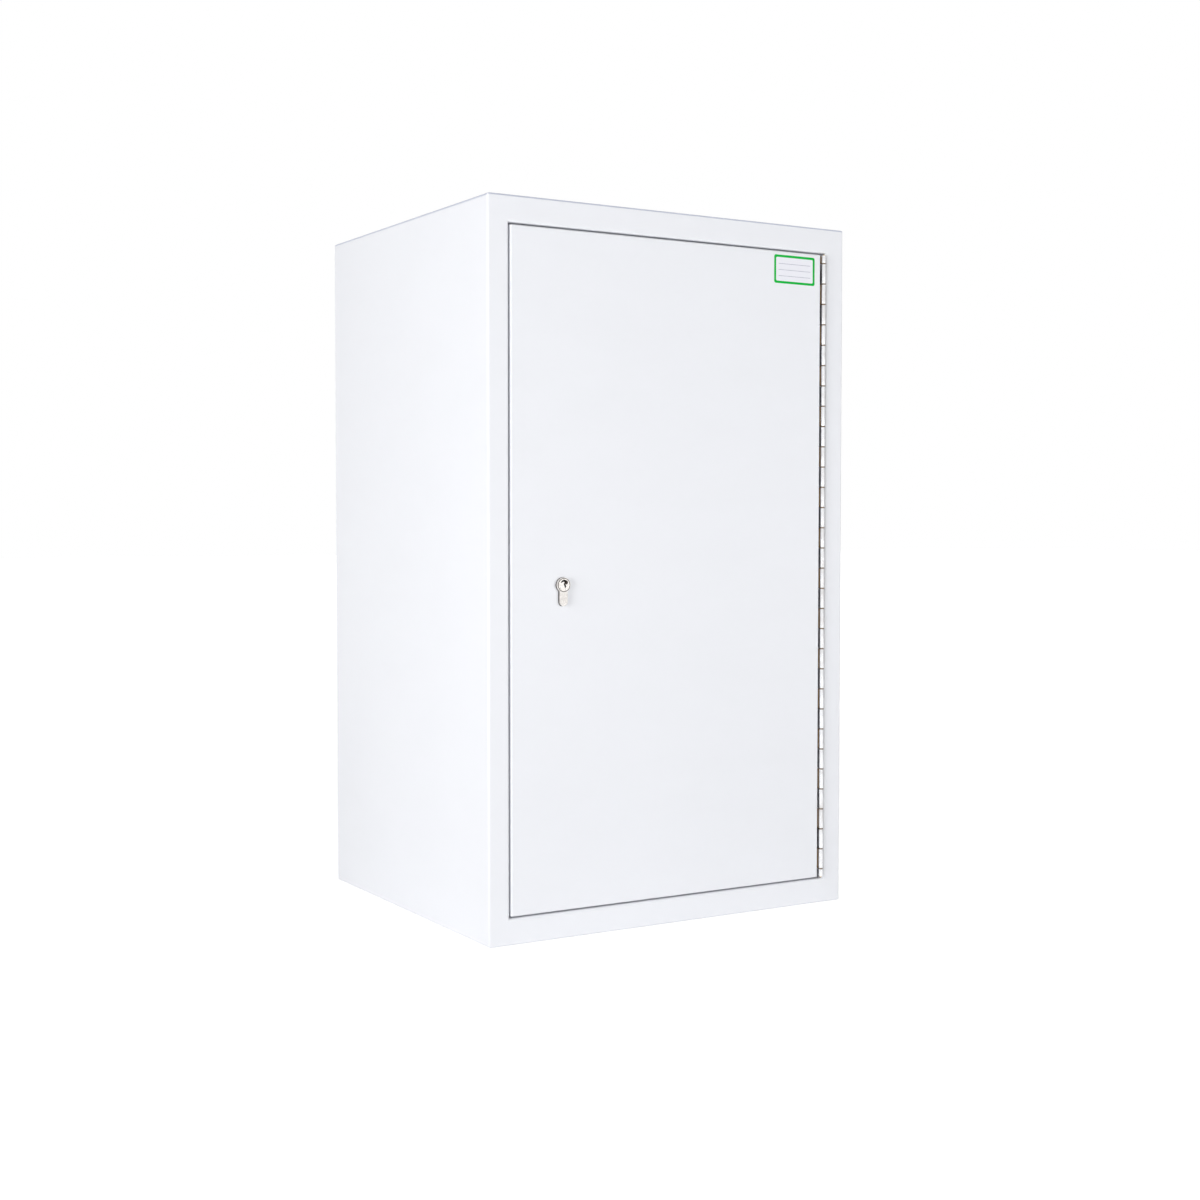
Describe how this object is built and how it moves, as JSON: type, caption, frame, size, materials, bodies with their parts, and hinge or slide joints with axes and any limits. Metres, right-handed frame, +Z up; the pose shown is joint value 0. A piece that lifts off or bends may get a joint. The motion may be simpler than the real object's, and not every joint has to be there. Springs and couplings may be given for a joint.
{
  "type": "lockable medicine cabinet",
  "caption": "White steel medicine cabinet with an inset door on a full-length piano hinge, a profile cylinder lock, a sliding bolt and adjustable shelves.",
  "frame": {"origin": "middle of the flat underside of the base panel", "axes": "+Z up the height of the cabinet, +Y from the front frame to the wall side, +X towards the hinge side"},
  "size_m": [0.5, 0.4544, 0.85],
  "materials": {
    "powder_coat": "semi-gloss white powder coat with a faint orange peel",
    "zinc_plate": "bright zinc plate",
    "bright_steel": "bright plated steel",
    "satin_nickel": "satin nickel plate",
    "pin_brass": "plain brass",
    "buffer_rubber": "matte moulded rubber",
    "label_vinyl": "printed vinyl with a green border"
  },
  "bodies": {
    "cabinet": {"left_side_panel": "powder_coat", "right_side_panel": "powder_coat", "top_panel": "powder_coat", "base_panel": "powder_coat", "back_panel": "powder_coat", "closing_stop_strip": "powder_coat", "top_stop_strip": "powder_coat", "base_stop_strip": "powder_coat", "rubber_buffers": "buffer_rubber", "anchor_plate_upper_left": "powder_coat", "anchor_plate_upper_right": "powder_coat", "anchor_plate_lower_left": "powder_coat", "anchor_plate_lower_right": "powder_coat", "shelf_strip_front_left": "zinc_plate", "shelf_strip_front_right": "zinc_plate", "shelf_strip_back_left": "zinc_plate", "shelf_strip_back_right": "zinc_plate", "lower_shelf": "powder_coat", "middle_shelf": "powder_coat", "upper_shelf": "powder_coat", "lower_shelf_clips": "zinc_plate", "middle_shelf_clips": "zinc_plate", "upper_shelf_clips": "zinc_plate", "bolt_keep": "powder_coat", "hinge_frame_leaf": "bright_steel", "hinge_pin": "pin_brass", "hinge_frame_rivets": "zinc_plate"},
    "door": {"door_outer_skin": "powder_coat", "door_inner_panel": "powder_coat", "door_stiffener_left": "zinc_plate", "door_stiffener_right": "zinc_plate", "hinge_hook_bar": "powder_coat", "hinge_door_leaf": "bright_steel", "hinge_door_rivets": "zinc_plate", "door_label": "label_vinyl", "lock_case": "zinc_plate", "lock_case_cover": "zinc_plate", "lock_case_screws": "bright_steel", "lock_case_nuts": "zinc_plate", "bolt_guide_post": "zinc_plate", "cylinder_body": "satin_nickel", "cylinder_screw": "bright_steel", "driver_pins": "pin_brass", "pin_springs": "bright_steel"},
    "plug": {"cylinder_plug": "satin_nickel", "key_pins": "pin_brass", "cylinder_cam": "zinc_plate"},
    "bolt": {"lock_bolt": "bright_steel"}
  },
  "joints": [
    {"name": "door_hinge", "type": "hinge", "parent": "cabinet", "child": "door", "pos_m": [0.21875, -0.2258, 0.425], "axis": [0, 0, 1], "range_deg": [0, 180]},
    {"name": "plug_turn", "type": "hinge", "parent": "door", "child": "plug", "pos_m": [-0.1546, -0.199, 0.4105], "axis": [0, 1, 0], "range_deg": [0, 360]},
    {"name": "bolt_slide", "type": "slide", "parent": "door", "child": "bolt", "axis": [-1, 0, 0], "range_m": [0, 0.02]}
  ],
  "couplings": [
    {"joint": "plug_turn", "follows": "bolt_slide", "rad_per_m": 314.16}
  ]
}
